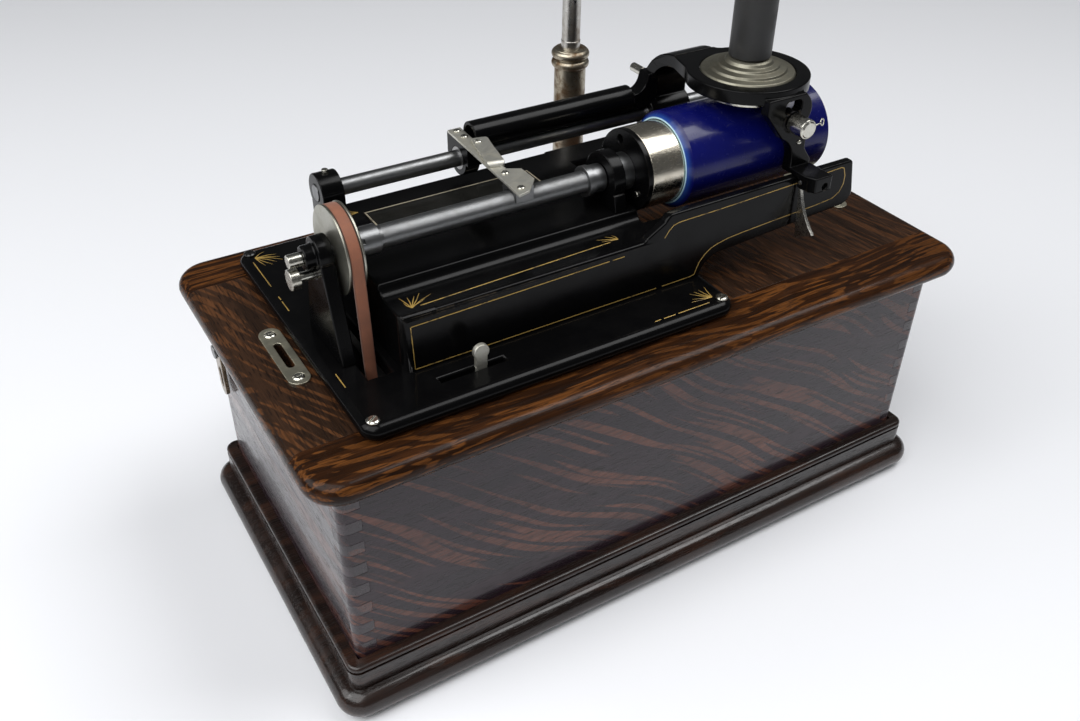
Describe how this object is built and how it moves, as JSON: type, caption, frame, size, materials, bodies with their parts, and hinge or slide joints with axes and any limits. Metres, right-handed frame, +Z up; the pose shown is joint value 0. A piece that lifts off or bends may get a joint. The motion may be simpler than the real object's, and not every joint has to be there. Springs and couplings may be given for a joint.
{
  "type": "cylinder phonograph",
  "caption": "Tabletop cylinder record player: oak case, black cast bedplate, belt-driven mandrel with feed screw, sliding carriage with reproducer, clockwork motor, crank and horn crane.",
  "frame": {"origin": "centre of the case's underside, on the table", "axes": "+X along the mandrel towards its free end, +Y to the back where the horn crane stands, +Z up"},
  "size_m": [0.5223, 0.2673, 0.347],
  "materials": {
    "moulding_oak": "dark varnished oak",
    "case_oak": "quartersawn oak, gloss varnish",
    "deck_oak": "quartersawn oak, gloss varnish",
    "nickel": "worn nickel plate",
    "steel": "ground steel",
    "japan": "black stoved japan over cast iron",
    "brass": "turned brass",
    "gilt_plate": "gilt border on black",
    "belt_leather": "flat brown leather",
    "record_shell": "polished deep blue",
    "rubber": "matt black",
    "motor_iron": "plain cast iron",
    "grip_wood": "turned and stained",
    "crane_metal": "pitted nickel plate"
  },
  "bodies": {
    "cabinet": {"base_moulding": "moulding_oak", "bottom_board": "case_oak", "front_wall": "case_oak", "rear_wall": "case_oak", "left_wall": "case_oak", "right_wall": "case_oak", "deck_front_rail": "deck_oak", "deck_rear_rail": "deck_oak", "deck_left_end": "deck_oak", "deck_right_end": "deck_oak", "catch_plates": "nickel", "catch_plate_screws": "nickel", "deck_hook_screw": "steel", "bedplate": "japan", "bedplate_screws": "nickel", "data_plate": "gilt_plate", "pivot_bracket": "japan", "pivot_screw": "nickel", "centre_bearing": "japan", "rod_posts": "japan", "post_screws": "nickel", "back_rod": "steel", "drive_belt": "belt_leather", "motor_frame": "motor_iron", "motor_bolts": "steel", "crank_rose": "nickel", "crane_brackets": "japan", "crane_tube": "crane_metal"},
    "main_shaft": {"main_shaft": "steel", "pulley": "nickel", "mandrel_head": "japan", "mandrel_screws": "nickel", "mandrel": "nickel"},
    "record": {"record": "record_shell"},
    "carriage_slider": {"carriage_bushes": "brass"},
    "carriage": {"carriage_arm": "japan", "carriage_cover": "japan", "carriage_pin": "nickel", "half_nut_spring": "nickel", "half_nut": "steel", "finger_tab": "nickel", "half_nut_screws": "nickel", "reproducer_case": "nickel", "horn_connector": "rubber", "lift_pin": "steel"},
    "floating_weight": {"floating_weight": "nickel", "stylus": "brass"},
    "leg_screw": {"leg_screw": "nickel"},
    "lift_lever": {"lift_lever": "nickel"},
    "start_lever": {"start_lever": "nickel", "brake_pad": "belt_leather"},
    "barrel": {"spring_barrel": "brass"},
    "drive": {"drive_arbor": "steel"},
    "governor": {"governor": "brass"},
    "winding": {"winding_arbor": "steel", "crank_arm": "nickel"},
    "crank_grip": {"crank_grip": "grip_wood"},
    "pawl": {"ratchet_pawl": "steel"},
    "crane_rod": {"crane_rod": "crane_metal"},
    "deck_hook": {"deck_hook": "steel"}
  },
  "joints": [
    {"name": "barrel_turn", "type": "hinge", "parent": "cabinet", "child": "barrel", "pos_m": [0, 0.024, 0.088], "axis": [1, 0, 0], "continuous": true},
    {"name": "drive_spin", "type": "hinge", "parent": "cabinet", "child": "drive", "pos_m": [-0.05, -0.034, 0.1279], "axis": [1, 0, 0], "continuous": true},
    {"name": "main_shaft_spin", "type": "hinge", "parent": "cabinet", "child": "main_shaft", "pos_m": [0, -0.02, 0.242], "axis": [1, 0, 0], "continuous": true},
    {"name": "governor_spin", "type": "hinge", "parent": "cabinet", "child": "governor", "pos_m": [-0.05, -0.04696, 0.09229], "axis": [1, 0, 0], "continuous": true},
    {"name": "record_slide", "type": "slide", "parent": "main_shaft", "child": "record", "axis": [1, 0, 0], "range_m": [0, 0.11]},
    {"name": "carriage_slide", "type": "slide", "parent": "cabinet", "child": "carriage_slider", "axis": [1, 0, 0], "range_m": [-0.052, 0.03]},
    {"name": "carriage_lift", "type": "hinge", "parent": "carriage_slider", "child": "carriage", "pos_m": [0, 0.045, 0.2405], "axis": [-1, 0, 0], "range_deg": [0, 45]},
    {"name": "weight_float", "type": "hinge", "parent": "carriage", "child": "floating_weight", "pos_m": [0.102, -0.001, 0.2739], "axis": [-1, 0, 0], "range_deg": [0, 2]},
    {"name": "leg_screw_turn", "type": "hinge", "parent": "carriage", "child": "leg_screw", "pos_m": [0.1064, -0.06, 0.267], "axis": [0, 1, 0], "range_deg": [-360, 360]},
    {"name": "lift_lever_swing", "type": "hinge", "parent": "carriage", "child": "lift_lever", "pos_m": [0.1132, -0.068, 0.2315], "axis": [-1, 0, 0], "range_deg": [0, 25]},
    {"name": "start_lever_slide", "type": "slide", "parent": "cabinet", "child": "start_lever", "axis": [1, 0, 0], "range_m": [-0.02, 0]},
    {"name": "crank_wind", "type": "hinge", "parent": "cabinet", "child": "winding", "pos_m": [0.23, 0.024, 0.088], "axis": [1, 0, 0], "continuous": true},
    {"name": "grip_spin", "type": "hinge", "parent": "winding", "child": "crank_grip", "pos_m": [0.28, 0.069, 0.03438], "axis": [1, 0, 0], "continuous": true},
    {"name": "pawl_lift", "type": "hinge", "parent": "cabinet", "child": "pawl", "pos_m": [0.0125, -0.004, 0.1114], "axis": [1, 0, 0], "range_deg": [0, 15]},
    {"name": "crane_rod_slide", "type": "slide", "parent": "cabinet", "child": "crane_rod", "axis": [0, 0, 1], "range_m": [0, 0.08]},
    {"name": "deck_hook_swing", "type": "hinge", "parent": "cabinet", "child": "deck_hook", "pos_m": [-0.2077, 0.086, 0.129], "axis": [1, 0, 0], "range_deg": [-60, 90]}
  ],
  "couplings": [
    {"joint": "drive_spin", "follows": "barrel_turn", "ratio": -4},
    {"joint": "main_shaft_spin", "follows": "barrel_turn", "ratio": -2.6726},
    {"joint": "governor_spin", "follows": "barrel_turn", "ratio": 16}
  ]
}
